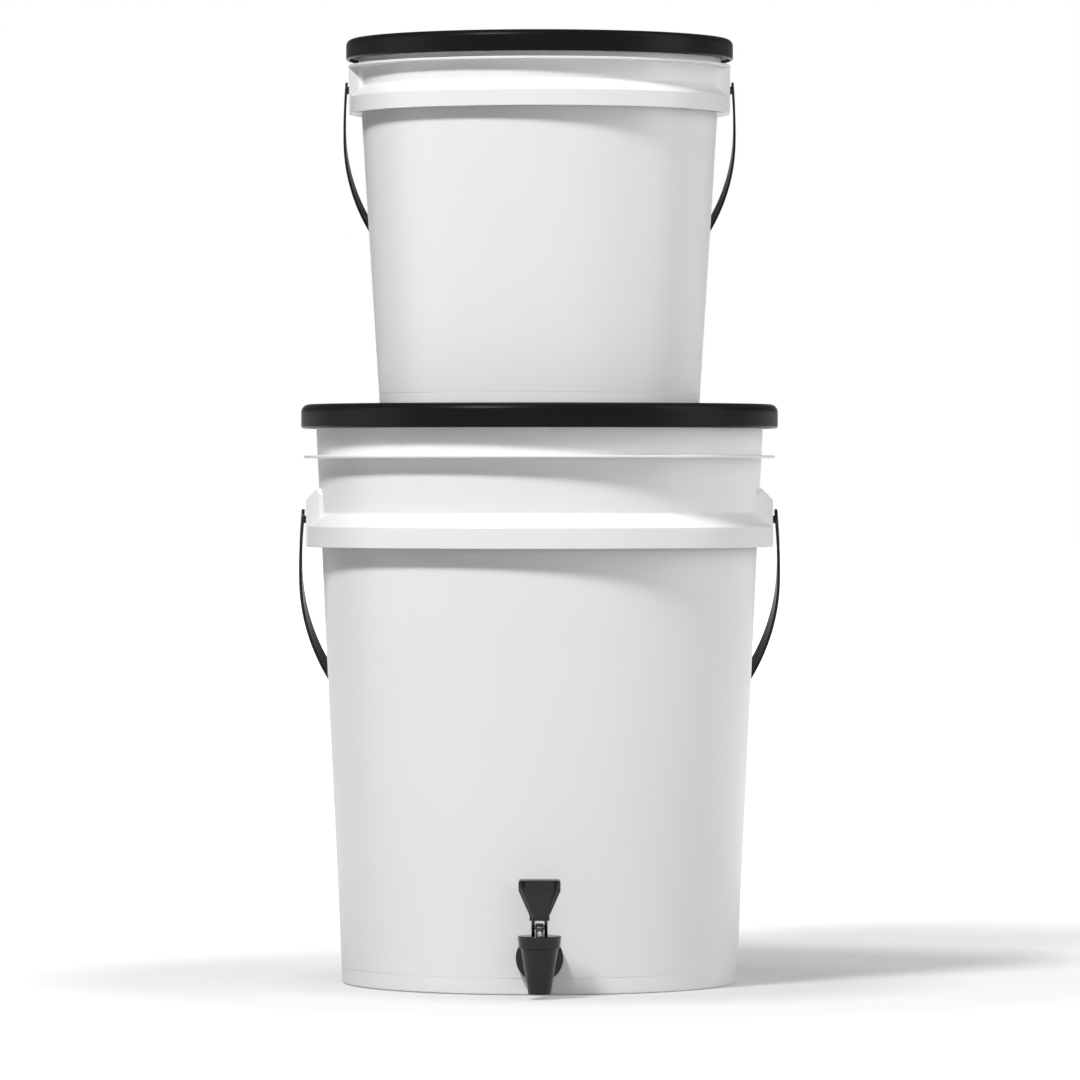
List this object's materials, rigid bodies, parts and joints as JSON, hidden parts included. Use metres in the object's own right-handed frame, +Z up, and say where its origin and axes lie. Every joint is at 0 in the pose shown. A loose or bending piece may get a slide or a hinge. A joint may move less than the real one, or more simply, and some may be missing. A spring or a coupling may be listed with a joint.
{
  "type": "gravity water filter with tap",
  "caption": "Gravity water filter: a lidded pail with candle filters stands on a larger lidded pail that has a lever tap near its foot; both have strap bails.",
  "frame": {"origin": "middle of the lower pail's foot ring, on the floor", "axes": "+Z up, -Y towards the tap, +X to the right seen from the tap"},
  "size_m": [0.318, 0.335, 0.6195],
  "materials": {
    "white_pail": "satin moulded polyethylene",
    "black_lid": "satin moulded polyethylene",
    "black_strap": "satin moulded plastic",
    "tap_black": "satin moulded plastic",
    "stem_white": "moulded acetal",
    "pin_steel": "drawn steel",
    "cup_silicone": "translucent silicone",
    "gasket_rubber": "matt rubber",
    "filter_ceramic": "porous unglazed ceramic",
    "filter_carbon": "pressed carbon block",
    "filter_plastic": "moulded plastic"
  },
  "bodies": {
    "lower_vessel": {"lower_pail": "white_pail", "tap_body": "tap_black", "tap_bonnet": "tap_black", "tap_front_washer": "gasket_rubber", "tap_back_washer": "gasket_rubber", "tap_nut": "tap_black"},
    "upper_stage": {"lower_lid": "black_lid", "lower_lid_gasket": "gasket_rubber", "upper_pail": "white_pail", "filter_dome_left": "filter_ceramic", "filter_core_left": "filter_carbon", "filter_base_left": "filter_plastic", "filter_floor_seal_left": "gasket_rubber", "filter_spacer_left": "gasket_rubber", "filter_lid_seal_left": "gasket_rubber", "filter_wing_nut_left": "filter_plastic", "filter_dome_right": "filter_ceramic", "filter_core_right": "filter_carbon", "filter_base_right": "filter_plastic", "filter_floor_seal_right": "gasket_rubber", "filter_spacer_right": "gasket_rubber", "filter_lid_seal_right": "gasket_rubber", "filter_wing_nut_right": "filter_plastic"},
    "top_lid": {"upper_lid": "black_lid", "upper_lid_gasket": "gasket_rubber"},
    "lower_bail": {"lower_bail": "black_strap"},
    "upper_bail": {"upper_bail": "black_strap"},
    "valve_stem": {"tap_stem": "stem_white", "tap_stem_eye": "tap_black", "tap_lever_pin": "pin_steel", "tap_seat_cup": "cup_silicone"},
    "tap_lever": {"tap_lever": "tap_black"}
  },
  "joints": [
    {"name": "upper_stage_lift", "type": "slide", "parent": "lower_vessel", "child": "upper_stage", "axis": [0, 0, 1], "range_m": [0, 0.2]},
    {"name": "upper_lid_lift", "type": "slide", "parent": "upper_stage", "child": "top_lid", "axis": [0, 0, 1], "range_m": [0, 0.15]},
    {"name": "lower_bail_swing", "type": "hinge", "parent": "lower_vessel", "child": "lower_bail", "pos_m": [0, 0, 0.3044], "axis": [1, 0, 0], "range_deg": [0, 108]},
    {"name": "upper_bail_swing", "type": "hinge", "parent": "upper_stage", "child": "upper_bail", "pos_m": [0, 0, 0.5864], "axis": [1, 0, 0], "range_deg": [0, 285]},
    {"name": "stem_lift", "type": "slide", "parent": "lower_vessel", "child": "valve_stem", "axis": [0, 0, 1], "range_m": [0, 0.0032]},
    {"name": "lever_tilt", "type": "hinge", "parent": "valve_stem", "child": "tap_lever", "pos_m": [0, -0.16434, 0.04585], "axis": [1, 0, 0], "range_deg": [0, 60], "stiffness_Nm_per_rad": 0.1}
  ],
  "couplings": [
    {"joint": "stem_lift", "follows": "lever_tilt", "m_per_rad": 0.003}
  ]
}
